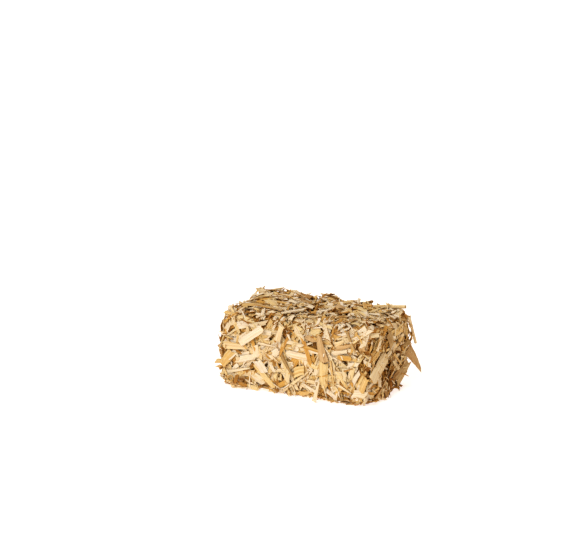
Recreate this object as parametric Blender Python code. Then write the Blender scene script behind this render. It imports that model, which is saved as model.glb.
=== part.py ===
"""A small bale of chopped straw, pressed into a brick.

X runs along the bale, -Y is its front and Z is up. The origin is the middle of the flat base.
The fine chopped straw is one pressed block. The largest chips, which lie on its skin, are
pieces of their own: split stems, flakes of leaf sheath, slivers and short lengths of whole stem.
"""

import math
import random

import bmesh
import bpy
from mathutils import Matrix, Vector, noise
from mathutils.bvhtree import BVHTree

MM = 0.001
NAME = "straw_bale"
SEED = 27

# The pressed block.
LENGTH = 65 * MM
DEPTH = 38 * MM
HEIGHT = 30 * MM
CORNER = 2.6 * MM      # radius of the block's worn edges
FOOT = 0.7 * MM        # height of the slice cut off below, which leaves the flat base
GRID = 2.9 * MM        # distance between the points of its skin
LUMP = 0.9 * MM        # how far the skin rises and falls
LUMP_PITCH = 8 * MM    # distance from one rise to the next

# Clumps that stand out of the block and corners worn off it: the middle of each, how far round
# it they reach, and how far they move the skin along X, Y and Z (mm).
CLUMPS = [
    ((-3, 17, 30), 9, (0, 0.4, 1.8)),
    ((-32, 8, 30), 10, (-0.5, 0, 0.6)),
    ((-20, -19, 2), 12, (0, -1.0, 0)),
    ((33, 14, 0), 16, (-5.5, -2.5, 0)),
    ((33, -19, 0), 7, (-0.8, 0.8, 0.8)),
    ((-33, -17, 13), 9, (-1.8, -0.4, 0)),
    ((-33, 19, 30), 8, (0.9, -0.9, -0.9)),
]

# The chips.
GAP = 0.35 * MM        # room left between a chip and whatever it lies on
STEM_WALL = 0.38 * MM
LEAF_WALL = 0.24 * MM
LEAF_TIP = 11 * MM     # a flake longer than this is the tip of a leaf
LEAF_POINT = 0.9       # share of its width that such a tip loses
SLIVER_WALL = 0.34 * MM
TUBE_SIDES = 8
SAMPLE = 0.45 * MM     # distance between the points of a chip that are tested for room
REACH = 30 * MM        # how far out those tests start

# Each face of the block: its middle at base height, the way across it and the way up it.
FACES = {
    "front": (Vector((0, -DEPTH / 2, 0)), Vector((1, 0, 0)), Vector((0, 0, 1))),
    "end": (Vector((LENGTH / 2, 0, 0)), Vector((0, 1, 0)), Vector((0, 0, 1))),
    "back": (Vector((0, DEPTH / 2, 0)), Vector((-1, 0, 0)), Vector((0, 0, 1))),
    "left": (Vector((-LENGTH / 2, 0, 0)), Vector((0, -1, 0)), Vector((0, 0, 1))),
    "top": (Vector((0, 0, HEIGHT)), Vector((1, 0, 0)), Vector((0, 1, 0))),
}

# The chips on the faces that show, lowest first where they cross:
# kind, face, middle across and up the face, length, width (mm), turn in the face, tilt about its
# own length and rise of its narrow end (degrees).
CHIPS = [
    ("leaf_flake", "front", -28.9, 11.6, 8.2, 4.2, -130, 4, -4),
    ("leaf_flake", "front", -24.4, 17.2, 10.9, 3.4, 2, -6, 0),
    ("split_stem", "front", -16.8, 22.8, 12.5, 2.8, 36, 0, 5),
    ("sliver", "front", -10.8, 19.5, 8.0, 1.1, -4, 0, 0),
    ("split_stem", "front", -11.8, 6.5, 11.5, 2.1, -44, 0, 0),
    ("sliver", "front", -23.8, 7.5, 10.5, 1.3, 17, 0, 4),
    ("leaf_flake", "front", -8.0, 16.0, 5.2, 3.0, 42, 8, 0),
    ("leaf_flake", "front", -1.8, 13.0, 10.0, 1.7, -56, 10, 0),
    ("split_stem", "front", 3.2, 17.3, 9.0, 2.8, -4, 5, -4),
    ("sliver", "front", 1.8, 6.5, 15.0, 1.4, 40, 0, 0),
    ("split_stem", "front", 8.2, 4.6, 7.5, 1.4, -18, 0, 0),
    ("leaf_flake", "front", -5.2, 24.6, 7.0, 2.4, 70, 6, 6),
    ("split_stem", "front", 14.2, 11.3, 10.2, 3.7, 88, 0, 0),
    ("leaf_flake", "front", 13.6, 21.5, 10.0, 4.2, 104, -8, 0),
    ("sliver", "front", 12.2, 4.5, 8.2, 1.7, 79, 0, -12),
    ("split_stem", "front", 20.9, 21.0, 6.4, 1.7, 18, 0, 0),
    ("split_stem", "front", 23.4, 19.2, 5.4, 1.9, 2, 5, 0),
    ("sliver", "front", 22.8, 6.6, 6.5, 1.3, -25, 0, 0),
    ("sliver", "front", 25.8, 25.8, 8.5, 1.3, -60, 5, 8),
    ("split_stem", "front", 31.1, 9.4, 6.0, 2.3, 68, 0, 0),
    ("split_stem", "end", -12.6, 14.6, 12.6, 4.2, 32, -26, 0),
    ("leaf_flake", "end", -12.4, 25.0, 6.4, 5.0, 86, 14, 8),
    ("leaf_flake", "end", -1.4, 22.6, 7.4, 3.4, -68, 10, 0),
    ("leaf_flake", "end", 10.4, 7.2, 10.6, 5.0, 36, -10, 8),
    ("leaf_flake", "end", 16.4, 10.6, 12.0, 4.8, -62, 28, 17),
    ("sliver", "end", 5.4, 13.4, 9.0, 1.2, -43, 0, 0),
    ("sliver", "end", -9.4, 5.6, 8.4, 1.5, 42, 8, 6),
    ("stem_tube", "end", 17.6, 22.4, 14.0, 1.2, -62, 0, 0),
    ("stem_tube", "top", 25.4, 14.2, 12.5, 1.5, 16, 0, 3),
    ("sliver", "top", 13.2, -8.4, 9.6, 1.2, 22, 0, 5),
    ("split_stem", "top", -4.2, -11.0, 9.0, 3.0, 34, -14, 8),
    ("split_stem", "top", -14.2, -12.6, 11.0, 2.0, 6, -8, -5),
    ("leaf_flake", "top", 2.8, -7.4, 5.0, 3.0, -58, -18, 10),
    ("leaf_flake", "top", 21.4, -12.0, 5.4, 3.8, 30, -16, 14),
    ("leaf_flake", "top", -7.2, 6.0, 8.0, 4.2, -20, -12, -7),
    ("split_stem", "top", 6.8, 10.0, 8.0, 2.4, 48, 0, 6),
]

# The faces turned away hold the same kinds, strewn at random: how many of them lie on each.
STREWN = {"back": 13, "left": 6}
STREWN_KINDS = ["split_stem", "leaf_flake", "sliver", "split_stem", "leaf_flake"]
STREWN_LENGTH = {"split_stem": (7, 12), "leaf_flake": (6, 10), "sliver": (7, 13)}
STREWN_WIDTH = {"split_stem": (1.8, 3.6), "leaf_flake": (2.6, 4.8), "sliver": (1.1, 1.6)}
STREWN_APART = 8.5     # least distance between the middles of two of them, mm
STREWN_EDGE = 5.0      # how far in from the face's own edges their middles stay, mm

# Each kind's colour and roughness.
FINISHES = {
    "pressed_straw": ((0.42, 0.27, 0.12, 1), 0.85),
    "split_stem": ((0.78, 0.60, 0.33, 1), 0.45),
    "leaf_flake": ((0.62, 0.42, 0.18, 1), 0.6),
    "sliver": ((0.80, 0.66, 0.42, 1), 0.55),
    "stem_tube": ((0.55, 0.45, 0.28, 1), 0.4),
}


def clear_scene():
    for ob in list(bpy.data.objects):
        bpy.data.objects.remove(ob, do_unlink=True)


def material(kind):
    mat = bpy.data.materials.new(kind)
    mat.use_nodes = True
    shader = mat.node_tree.nodes["Principled BSDF"]
    colour, roughness = FINISHES[kind]
    shader.inputs["Base Color"].default_value = colour
    shader.inputs["Roughness"].default_value = roughness
    shader.inputs["Metallic"].default_value = 0.0
    mat.diffuse_color = colour
    return mat


def add_object(name, bm, mat, collection):
    mesh = bpy.data.meshes.new(name)
    bm.to_mesh(mesh)
    mesh.shade_smooth()
    mesh.set_sharp_from_angle(angle=math.radians(35))
    mesh.materials.append(mat)
    ob = bpy.data.objects.new(name, mesh)
    collection.objects.link(ob)
    return ob


def cut_stations(bm, axis, size):
    """Cuts the box across one axis at even stations, about GRID apart."""
    steps = round(size / GRID)
    normal = Vector((0, 0, 0))
    normal[axis] = 1
    for step in range(1, steps):
        place = normal * (step / steps - 0.5) * size
        geometry = bm.verts[:] + bm.edges[:] + bm.faces[:]
        bmesh.ops.bisect_plane(bm, geom=geometry, plane_co=place, plane_no=normal)


def skin_lump(point):
    """How far the skin stands out at a point: broad rises with smaller ones on them."""
    broad = noise.noise(point / LUMP_PITCH)
    fine = noise.noise(point / (LUMP_PITCH * 0.45) + Vector((7, 3, 5)))
    return LUMP * (0.9 * broad + 0.6 * fine)


def clump_move(point):
    """How far the clumps and worn corners move the skin at a point, fading out round each."""
    total = Vector((0, 0, 0))
    for middle, reach, move in CLUMPS:
        near = max(0, 1 - (point - Vector(middle) * MM).length / (reach * MM))
        total += Vector(move) * MM * near * near * (3 - 2 * near)
    return total


def pressed_block():
    """A box with worn edges and a lumpy skin, cut off flat where it rests."""
    size = Vector((LENGTH, DEPTH, HEIGHT + FOOT))
    lift = Vector((0, 0, HEIGHT - size.z / 2))
    bm = bmesh.new()
    bmesh.ops.create_cube(bm, size=1)
    bmesh.ops.scale(bm, vec=size, verts=bm.verts)
    for axis in range(3):
        cut_stations(bm, axis, size[axis])

    core = size / 2 - Vector((CORNER, CORNER, CORNER))
    for v in bm.verts:
        inner = Vector([max(-c, min(c, x)) for c, x in zip(core, v.co)])
        outward = (v.co - inner).normalized()
        point = v.co + lift
        v.co = lift + inner + outward * (CORNER + skin_lump(point)) + clump_move(point)

    geometry = bm.verts[:] + bm.edges[:] + bm.faces[:]
    cut = bmesh.ops.bisect_plane(
        bm, geom=geometry, plane_co=(0, 0, 0), plane_no=(0, 0, -1), clear_outer=True
    )
    rim = [e for e in cut["geom_cut"] if isinstance(e, bmesh.types.BMEdge)]
    bmesh.ops.contextual_create(bm, geom=rim)
    bmesh.ops.recalc_face_normals(bm, faces=bm.faces)
    return bm


def sheet(length, width, along, across):
    """A flat grid, its length along X and its width along Y, facing +Z."""
    bm = bmesh.new()
    bmesh.ops.create_grid(bm, x_segments=along, y_segments=across, size=0.5)
    bmesh.ops.scale(bm, vec=(length, width, 1), verts=bm.verts)
    return bm


def form(bm, length, width, rng, arc=0.0, crease=0.0, bow=0.0, twist=0.0, taper=0.0, torn=0.0):
    """Shapes a flat sheet.

    arc rounds it across, as an angle. crease folds it along its middle and bow along its length,
    as heights. twist turns one end against the other. taper narrows the +X end, from 0 to 1, and
    torn is how far the ends are ragged.
    """
    for v in bm.verts:
        s = v.co.x / length
        t = v.co.y / width
        y = v.co.y * (1 - taper * (s + 0.5))
        z = -crease * abs(2 * t) - bow * (2 * s) ** 2
        if arc:
            radius = width / arc
            y = radius * math.sin(y / radius)
            z -= radius * (1 - math.cos(t * arc))
        turn = twist * s
        x = v.co.x
        if abs(s) > 0.49:
            x += rng.uniform(-torn, torn)
        v.co = (x, y * math.cos(turn) - z * math.sin(turn), y * math.sin(turn) + z * math.cos(turn))


def thicken(bm, wall):
    """Gives a sheet its wall, on the outer side."""
    bmesh.ops.recalc_face_normals(bm, faces=bm.faces)
    if sum((f.normal.z * f.calc_area() for f in bm.faces)) < 0:
        bmesh.ops.reverse_faces(bm, faces=bm.faces)
    bmesh.ops.solidify(bm, geom=bm.faces[:], thickness=-wall)
    bmesh.ops.recalc_face_normals(bm, faces=bm.faces)


def split_stem(length, width, rng):
    """A stem split lengthwise: part of a tube's wall, torn at both ends."""
    bm = sheet(length, width, 5, 3)
    arc = math.radians(rng.uniform(45, 80))
    bow = rng.uniform(0, 0.03) * length
    form(bm, length, width, rng, arc=arc, bow=bow, twist=rng.uniform(-0.2, 0.2),
         taper=rng.uniform(0, 0.25), torn=0.3 * width)
    thicken(bm, STEM_WALL)
    return bm


def leaf_flake(length, width, rng):
    """A thin flake of leaf, creased along its middle, that narrows to one end."""
    bm = sheet(length, width, 5, 2)
    form(bm, length, width, rng, crease=rng.uniform(0.06, 0.14) * width,
         bow=rng.uniform(0.02, 0.07) * length, twist=rng.uniform(-0.35, 0.35),
         taper=LEAF_POINT if length > LEAF_TIP else rng.uniform(0.2, 0.65), torn=0.25 * width)
    thicken(bm, LEAF_WALL)
    return bm


def sliver(length, width, rng):
    """A narrow splinter of stem that runs out almost to a point."""
    bm = sheet(length, width, 5, 1)
    form(bm, length, width, rng, bow=rng.uniform(0.01, 0.04) * length,
         twist=rng.uniform(-0.4, 0.4), taper=rng.uniform(0.4, 0.7), torn=0.6 * width)
    thicken(bm, SLIVER_WALL)
    return bm


def stem_tube(length, width, rng):
    """A short length of whole thin stem, hollow, cut at both ends."""
    bm = bmesh.new()
    along_x = Matrix.Rotation(math.radians(90), 4, "Y")
    bmesh.ops.create_cone(bm, cap_ends=False, segments=TUBE_SIDES, radius1=width / 2,
                          radius2=width / 2 * 0.9, depth=length, matrix=along_x)
    for end in (-1, 1):
        lean = rng.uniform(-0.4, 0.4)
        for v in bm.verts:
            if v.co.x * end > 0:
                v.co.x += lean * v.co.y
    bmesh.ops.recalc_face_normals(bm, faces=bm.faces)
    bmesh.ops.solidify(bm, geom=bm.faces[:], thickness=0.22 * width)
    bmesh.ops.recalc_face_normals(bm, faces=bm.faces)
    return bm


MAKERS = {
    "split_stem": split_stem,
    "leaf_flake": leaf_flake,
    "sliver": sliver,
    "stem_tube": stem_tube,
}


def place_on(face, across, up, turn, tilt, rise):
    """The matrix that lays a chip on a face: turned in it, tilted about its length, one end raised."""
    middle, right, upward = FACES[face]
    out = right.cross(upward)
    axes = Matrix((right, upward, out)).transposed().to_4x4()
    at = Matrix.Translation(middle + right * across + upward * up)
    turned = Matrix.Rotation(math.radians(turn), 4, "Z")
    raised = Matrix.Rotation(-math.radians(rise), 4, "Y")
    tilted = Matrix.Rotation(math.radians(tilt), 4, "X")
    return at @ axes @ turned @ raised @ tilted, out


def sample_points(bm, matrix):
    """Points all over a chip's skin, about SAMPLE apart, where it lies."""
    points = []
    for face in bm.faces:
        corners = [matrix @ v.co for v in face.verts]
        a, b, c, d = corners if len(corners) == 4 else corners + [corners[-1]]
        wide = max((b - a).length, (c - d).length)
        high = max((d - a).length, (c - b).length)
        columns = max(1, math.ceil(wide / SAMPLE))
        rows = max(1, math.ceil(high / SAMPLE))
        for i in range(columns + 1):
            for j in range(rows + 1):
                low = a.lerp(b, i / columns)
                top = d.lerp(c, i / columns)
                points.append(low.lerp(top, j / rows))
    return points


def lift_needed(points, out, solids):
    """How far a chip has to move along out to lie GAP clear of every solid under it."""
    need = None
    for point in points:
        start = point + out * REACH
        for tree in solids:
            hit, _, _, _ = tree.ray_cast(start, -out, 2 * REACH)
            if hit is None:
                continue
            rise = (hit - point).dot(out)
            if rise > -REACH / 2 and (need is None or rise > need):
                need = rise
    return (need or 0.0) + GAP


def lay_chip(kind, face, across, up, length, width, turn, tilt, rise, state):
    """Makes one chip and lays it on the block and on the chips that are there already."""
    rng = random.Random(f"{SEED} {kind} {face} {across:.2f} {up:.2f}")
    bm = MAKERS[kind](length, width, rng)
    matrix, out = place_on(face, across, up, turn, tilt, rise)
    points = sample_points(bm, matrix)
    matrix = Matrix.Translation(out * lift_needed(points, out, state["solids"])) @ matrix
    lowest = min((matrix @ v.co).z for v in bm.verts)
    if lowest < GAP:
        matrix = Matrix.Translation((0, 0, GAP - lowest)) @ matrix

    count = state["counts"].get((kind, face), 0) + 1
    state["counts"][(kind, face)] = count
    ob = add_object(f"{kind}_{face}_{count:02d}", bm, state["materials"][kind], state["parts"])
    ob.matrix_world = matrix
    bmesh.ops.transform(bm, matrix=matrix, verts=bm.verts)
    state["solids"].append(BVHTree.FromBMesh(bm))
    bm.free()


def strew(face, count, state):
    """Lays chips of the usual kinds at random on a face, well apart."""
    rng = random.Random(f"{SEED} {face}")
    half = (LENGTH if face in ("front", "back", "top") else DEPTH) / MM / 2 - STREWN_EDGE
    middles = []
    while len(middles) < count:
        spot = Vector((rng.uniform(-half, half), rng.uniform(STREWN_EDGE, HEIGHT / MM - STREWN_EDGE)))
        if all((spot - other).length > STREWN_APART for other in middles):
            middles.append(spot)
    for number, spot in enumerate(middles):
        kind = STREWN_KINDS[number % len(STREWN_KINDS)]
        length = rng.uniform(*STREWN_LENGTH[kind])
        width = rng.uniform(*STREWN_WIDTH[kind])
        turn = rng.uniform(-90, 90)
        tilt = rng.uniform(-10, 10)
        rise = rng.uniform(-3, 8)
        lay_chip(
            kind, face, spot.x * MM, spot.y * MM, length * MM, width * MM, turn, tilt, rise, state
        )


def main():
    clear_scene()
    parts = bpy.data.collections.new(NAME)
    bpy.context.scene.collection.children.link(parts)
    materials = {kind: material(kind) for kind in FINISHES}

    block = pressed_block()
    add_object("pressed_straw", block, materials["pressed_straw"], parts)
    solids = [BVHTree.FromBMesh(block)]
    block.free()

    state = {"parts": parts, "materials": materials, "solids": solids, "counts": {}}
    for kind, face, across, up, length, width, turn, tilt, rise in CHIPS:
        lay_chip(
            kind, face, across * MM, up * MM, length * MM, width * MM, turn, tilt, rise, state
        )
    for face, count in STREWN.items():
        strew(face, count, state)


main()
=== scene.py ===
# %% [markdown]
# # A small bale of chopped straw
#
# The bale is a brick of chopped straw, pressed while damp and held by its own binder. It stands
# on a pale table under soft studio light. The construction model gives its size, its pressed block
# and the largest chips, and this script adds the thousands of bits that a real one is made of.
# The first cell loads that model and keeps its box.

# %% Load the construction model
import itertools
import math

import bmesh
import bpy
import numpy as np
from mathutils import Matrix, Vector, noise
from mathutils.bvhtree import BVHTree


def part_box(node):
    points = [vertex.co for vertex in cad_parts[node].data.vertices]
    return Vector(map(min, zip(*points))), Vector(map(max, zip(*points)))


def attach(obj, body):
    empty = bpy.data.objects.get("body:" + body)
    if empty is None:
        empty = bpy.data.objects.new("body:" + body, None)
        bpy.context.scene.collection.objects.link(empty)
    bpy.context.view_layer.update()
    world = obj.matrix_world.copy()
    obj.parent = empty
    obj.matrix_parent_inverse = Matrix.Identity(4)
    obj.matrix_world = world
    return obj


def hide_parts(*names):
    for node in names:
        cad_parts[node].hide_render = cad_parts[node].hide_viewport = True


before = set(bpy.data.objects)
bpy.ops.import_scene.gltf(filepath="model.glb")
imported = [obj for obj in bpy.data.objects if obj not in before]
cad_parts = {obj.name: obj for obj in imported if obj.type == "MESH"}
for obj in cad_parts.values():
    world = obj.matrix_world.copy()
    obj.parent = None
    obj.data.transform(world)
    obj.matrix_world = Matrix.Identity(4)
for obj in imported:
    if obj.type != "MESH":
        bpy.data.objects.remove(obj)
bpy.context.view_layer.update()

block_low, block_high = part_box("pressed_straw")
scene = bpy.context.scene
MM = 0.001
SEED = 11

# %% [markdown]
# ## The camera
#
# A long lens keeps the brick's edges almost parallel. The camera stands a little above the table
# and to the right of the front, so the front, the top and the right end show. It is aimed above
# the bale and to its left, so the bale sits low in the frame.

# %% Camera
VIEW_AZIMUTH = 27.95    # degrees round from the front towards the right end
VIEW_ELEVATION = 16.35  # degrees above the table
VIEW_DISTANCE = 789.6 * MM
LENS = 128.3            # mm, on a sensor 36 mm wide
HEADING = 29.0          # degrees: where the camera points
PITCH = 14.3            # degrees below level
MIDDLE = Vector((0, 0, 15 * MM))


def away(azimuth, elevation):
    """The direction from the bale to something at an azimuth and elevation, in degrees."""
    a, e = math.radians(azimuth), math.radians(elevation)
    return Vector((math.sin(a) * math.cos(e), -math.cos(a) * math.cos(e), math.sin(e)))


def in_scene(name, data):
    """Puts a camera, a lamp or a mesh in the scene."""
    made = bpy.data.objects.new(name, data)
    scene.collection.objects.link(made)
    return made


camera = in_scene("camera", bpy.data.cameras.new("camera"))
scene.camera = camera
camera.data.sensor_width = 36
camera.data.lens = LENS
camera.data.clip_start = 0.05
camera.location = MIDDLE + away(VIEW_AZIMUTH, VIEW_ELEVATION) * VIEW_DISTANCE
camera.rotation_euler = (math.radians(90 - PITCH), 0, math.radians(HEADING))
print("camera stands", [round(c / MM) for c in camera.location], "mm from the base's middle")

# %% [markdown]
# ## Colours and nodes
#
# Colours are written as the hex values that a paint chart or a screen gives. Blender's shaders
# count in linear light, so one function turns them. Another adds a shader node, sets it up and
# fills its inputs with values or links. A third mixes two colours. In a Mix node those go by
# number: they are its inputs 6 and 7, and its output 2.

# %% Helpers for materials
def linear(hex_colour):
    """An sRGB hex value as the linear red, green, blue and alpha that shaders use."""
    parts = [int(hex_colour[i:i + 2], 16) / 255 for i in (1, 3, 5)]
    return [p / 12.92 if p <= 0.04045 else ((p + 0.055) / 1.055) ** 2.4 for p in parts] + [1.0]


def add(tree, kind, inputs=None, stops=None, **settings):
    """Adds a shader node, sets its properties and fills its inputs with values or links.

    stops are a colour ramp's, as (place, linear colour).
    """
    made = tree.nodes.new("ShaderNode" + kind)
    for name, value in settings.items():
        setattr(made, name, value)
    for key, value in (inputs or {}).items():
        if isinstance(value, bpy.types.NodeSocket):
            tree.links.new(value, made.inputs[key])
        else:
            made.inputs[key].default_value = value
    if stops:
        elements = made.color_ramp.elements
        while len(elements) < len(stops):
            elements.new(0.99)
        for element, (place, colour) in zip(elements, stops):
            element.position = place
            element.color = colour
    return made


def mix(tree, factor, first, second, blend_type="MIX"):
    """Adds a node that mixes two colours, and returns its output."""
    return add(tree, "Mix", {0: factor, 6: first, 7: second}, data_type="RGBA",
               blend_type=blend_type).outputs[2]


def new_material(name):
    made = bpy.data.materials.new(name)
    made.use_nodes = True
    made.node_tree.nodes.clear()
    return made, made.node_tree


print("mid grey is", round(linear("#808080")[0], 3), "in linear light")

# %% [markdown]
# ## Table and light
#
# The table is plain white laminate. The light is that of a small product table: a large soft box
# in front, which makes the front the brightest side, a small one overhead, which picks out the
# chips on top, and a room that fills the shade. The contrast look deepens the gaps between chips.
#
# Bales stand in stacks, so what lies in shade gets its light from other straw, and is golden. A
# white room would make it grey. A Light Path node tells the camera's rays from all others: to the
# camera the table and the room are white, and to the straw they are the colour of straw.

# %% Table
scene.view_settings.view_transform = "Standard"
scene.view_settings.look = "Medium High Contrast"

TABLE_SIZE = 8.0
table_shape = bmesh.new()
bmesh.ops.create_grid(table_shape, x_segments=1, y_segments=1, size=TABLE_SIZE / 2)
table = in_scene("table", bpy.data.meshes.new("table"))
table_shape.to_mesh(table.data)
table_shape.free()

laminate, tree = new_material("white_laminate")
seen = add(tree, "LightPath").outputs["Is Camera Ray"]
white = mix(tree, seen, linear("#E4DAC6"), linear("#DEDCD8"))
glow = mix(tree, seen, linear("#FFF1E3"), linear("#FCFDFF"))
shader = add(tree, "BsdfPrincipled", {
    "Base Color": white, "Roughness": 0.6, "Emission Color": glow, "Emission Strength": 0.6,
})
add(tree, "OutputMaterial", {"Surface": shader.outputs[0]})
table.data.materials.append(laminate)
print("table:", TABLE_SIZE, "m wide")

# %% [markdown]
# The room is one even colour all round. The lamps are square soft boxes that face the bale.

# %% Room and lamps
world = bpy.data.worlds.new("white_room")
scene.world = world
world.use_nodes = True
tree = world.node_tree
seen = add(tree, "LightPath").outputs["Is Camera Ray"]
room = mix(tree, seen, linear("#A68F78"), linear("#FAFAFA"))
tree.links.new(room, tree.nodes["Background"].inputs["Color"])


def soft_box(name, azimuth, elevation, distance, size, power, colour):
    """A square area light that faces the bale from an azimuth and elevation, in degrees."""
    data = bpy.data.lights.new(name, "AREA")
    data.shape = "SQUARE"
    data.size = size
    data.energy = power
    data.color = linear(colour)[:3]
    light = in_scene(name, data)
    light.location = MIDDLE + away(azimuth, elevation) * distance
    light.rotation_euler = away(azimuth, elevation).to_track_quat("Z", "Y").to_euler()


soft_box("key_light", -6, 42, 3.0, 1.6, 48, "#FAFCFF")
soft_box("top_light", 150, 78, 3.0, 0.8, 17, "#FFFAF0")

# %% [markdown]
# ## Straw
#
# Wheat straw is a hollow stem. Its outer side has a hard, waxy skin, golden and slightly glossy.
# Its inner side is soft pith, cream and matt. The leaf sheaths round it are thinner and browner,
# with fine ribs. Some straw is amber with age, and weather lets some go grey. Amber and dark brown
# straw laid deep in the pile, and dark brown in patches mostly at the foot, are painted shade: they
# give the gaps and the foot the golden brown of shade. All of it is grained along its length, so
# the pattern has to follow each chip.
#
# Each chip's UV map does that. The map is a sheet of 16 by 16 swatches. Each swatch is a piece
# of straw 14 mm long and 5 mm wide. Each row holds one kind, and along a row the tone runs from
# light to dark. A chip takes one swatch for its outer side and one for its inner side, at its
# real size, so the grain is as fine on a large chip as on a small one.

# %% The sheet of swatches
SWATCHES = 16
SWATCH_LENGTH = 14 * MM
SWATCH_WIDTH = 5 * MM
SWATCH_USED = 0.94  # share of a swatch that its piece of straw takes up, each way
SWATCH_EDGE = 0.02  # share of a swatch that is kept free at each edge
OVER_THE_RIM = 0.7  # how far the grain runs on over a rim, as a share of its height
MAP = "OFBake"      # name of the UV map

# Each kind: how many rows of swatches, its light tone, its dark tone, and its roughness.
KINDS = {
    "pith": (3, "#EBE8DA", "#DED0A6", 0.75),
    "skin": (3, "#E6DCB2", "#D0AA60", 0.45),
    "leaf": (3, "#D0B88E", "#9C7A4C", 0.6),
    "grey": (2, "#CEBC94", "#967C52", 0.65),
    "amber": (2, "#D2AC66", "#A2763C", 0.6),
    # the dark brown kind is painted shade, laid deep in the gaps and at the foot
    "old": (1, "#AC7C42", "#5A381A", 0.8),
    # the edge kind goes on chips' rims: its amber is painted shade along their sides
    "edge": (2, "#CEA862", "#A0743C", 0.7),
}
ROWS = {}
for kind, (rows, *_) in KINDS.items():
    first = sum(len(r) for r in ROWS.values())
    ROWS[kind] = range(first, first + rows)


def on_swatch(flat, slide=0.0):
    """Where points of a chip laid flat fall on a swatch, from 0 to 1 along and across it."""
    spread = flat[..., :2] + OVER_THE_RIM * flat[..., 2:]
    spread = spread / (SWATCH_LENGTH, SWATCH_WIDTH) * SWATCH_USED + slide + 0.5
    return np.clip(spread, SWATCH_EDGE, 1 - SWATCH_EDGE)


print("rows of the sheet:", {kind: list(rows) for kind, rows in ROWS.items()})

# %% [markdown]
# The material reads from the UV map which swatch it is on. The row gives the kind of straw, by
# three ramps with hard steps: its light tone, its dark tone and its roughness. The column gives
# the tone between those two.

# %% Straw material: kind and tone
straw, tree = new_material("chopped_wheat_straw")
uv = add(tree, "UVMap", uv_map=MAP).outputs["UV"]
sheet_at = add(tree, "VectorMath", {0: uv, 1: (SWATCHES, SWATCHES, 0)},
               operation="MULTIPLY").outputs[0]
swatch = add(tree, "VectorMath", {0: sheet_at}, operation="FLOOR").outputs[0]
chance = add(tree, "TexWhiteNoise", {"Vector": swatch}, noise_dimensions="2D").outputs["Value"]
place = add(tree, "SeparateXYZ", {0: swatch})
row, column = [
    add(tree, "Math", {0: place.outputs[axis], 1: 1 / SWATCHES, 2: 0.5 / SWATCHES},
        operation="MULTIPLY_ADD").outputs[0]
    for axis in ("Y", "X")
]

starts = [ROWS[kind].start / SWATCHES for kind in KINDS]
_, light_tones, dark_tones, roughnesses = zip(*KINDS.values())
by_kind = []
for steps in ([linear(c) for c in light_tones], [linear(c) for c in dark_tones],
              [(r, r, r, 1) for r in roughnesses]):
    made = add(tree, "ValToRGB", {"Fac": row}, stops=list(zip(starts, steps)))
    made.color_ramp.interpolation = "CONSTANT"
    by_kind.append(made.outputs["Color"])
light_tone, dark_tone, roughness = by_kind
print("kinds of straw start at", starts)

# %% [markdown]
# Grain lines and broader streaks are noise that is drawn out along the straw. Stains are round.
# Streaks shift the tone, each swatch has a slight tint of its own, grain lines are amber and stand
# up a little, and stains take the dark tone.

# %% Straw material: grain, streaks and stains
FIBRE = 0.16 * MM   # distance between grain lines
FIBRE_LENGTH = 12 * MM
FIBRE_HEIGHT = 0.05 * MM
STREAK = 0.7 * MM   # width of the broader streaks
STREAK_SHIFT = 1.0  # how far streaks shift the tone, of its whole range
BLOTCH = 3 * MM     # distance between stains
TINT = 0.6          # how strongly a swatch's own tint shows
LINE_DEPTH = 0.45   # how strongly grain lines show

noises = []
for length, width, detail in (
        (FIBRE_LENGTH, FIBRE, 3.0), (2 * FIBRE_LENGTH, STREAK, 1.0), (BLOTCH, BLOTCH, 2.0)):
    scale = (SWATCH_LENGTH / length, SWATCH_WIDTH / width, 0)
    at = add(tree, "VectorMath", {0: sheet_at, 1: scale}, operation="MULTIPLY").outputs[0]
    noises.append(add(tree, "TexNoise", {"Vector": at, "Scale": 1.0, "Detail": detail,
                                         "Roughness": 0.6}, noise_dimensions="2D").outputs[0])
grain, streak, stain = noises

tone = add(tree, "Math", {0: streak, 1: STREAK_SHIFT, 2: -STREAK_SHIFT / 2},
           operation="MULTIPLY_ADD").outputs[0]
tone = add(tree, "Math", {0: tone, 1: column}, operation="ADD", use_clamp=True).outputs[0]
colour = mix(tree, tone, light_tone, dark_tone)
hues = add(tree, "ValToRGB", {"Fac": chance}, stops=[
    (0.0, linear("#FFF3DC")), (0.5, (1, 1, 1, 1)), (1.0, linear("#FFFAEC"))]).outputs[0]
colour = mix(tree, TINT, colour, hues, "MULTIPLY")
lines = add(tree, "ValToRGB", {"Fac": grain}, stops=[
    (0.32, linear("#BC8440")), (0.58, (1, 1, 1, 1))]).outputs[0]
colour = mix(tree, LINE_DEPTH, colour, lines, "MULTIPLY")
spots = add(tree, "ValToRGB", {"Fac": stain}, stops=[
    (0.55, (0, 0, 0, 1)), (0.75, (0.5, 0.5, 0.5, 1))]).outputs[0]
colour = mix(tree, spots, colour, dark_tone)
bump = add(tree, "Bump", {"Height": grain, "Strength": 0.35, "Distance": FIBRE_HEIGHT})
shader = add(tree, "BsdfPrincipled", {
    "Base Color": colour, "Roughness": roughness, "Normal": bump.outputs[0],
    "IOR": 1.45, "Specular IOR Level": 0.06,
})
add(tree, "OutputMaterial", {"Surface": shader.outputs[0]})
print("straw material:", len(tree.nodes), "nodes")

# %% [markdown]
# ## The bed
#
# Under the loose chips the straw is packed too tightly to see into: only a golden brown, fibrous
# bed shows through the gaps. Its golden brown is partly the straw's and partly painted shade, the
# colour that shade and light passing through straw give the gaps. It is a copy of the construction
# model's block, drawn in along its normals. That way it keeps the same worn corners and lumps, and
# the chips can be piled on it.

# %% Bed of packed straw
BED_DEPTH = 2.9 * MM
CRUMB = 0.8 * MM
CLEAR = 0.05 * MM  # room left above the table
WELD = 0.001 * MM  # points closer than this are one point

block_shape = bmesh.new()
block_shape.from_mesh(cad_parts["pressed_straw"].data)
bmesh.ops.remove_doubles(block_shape, verts=block_shape.verts, dist=WELD)
block_shape.normal_update()

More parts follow.
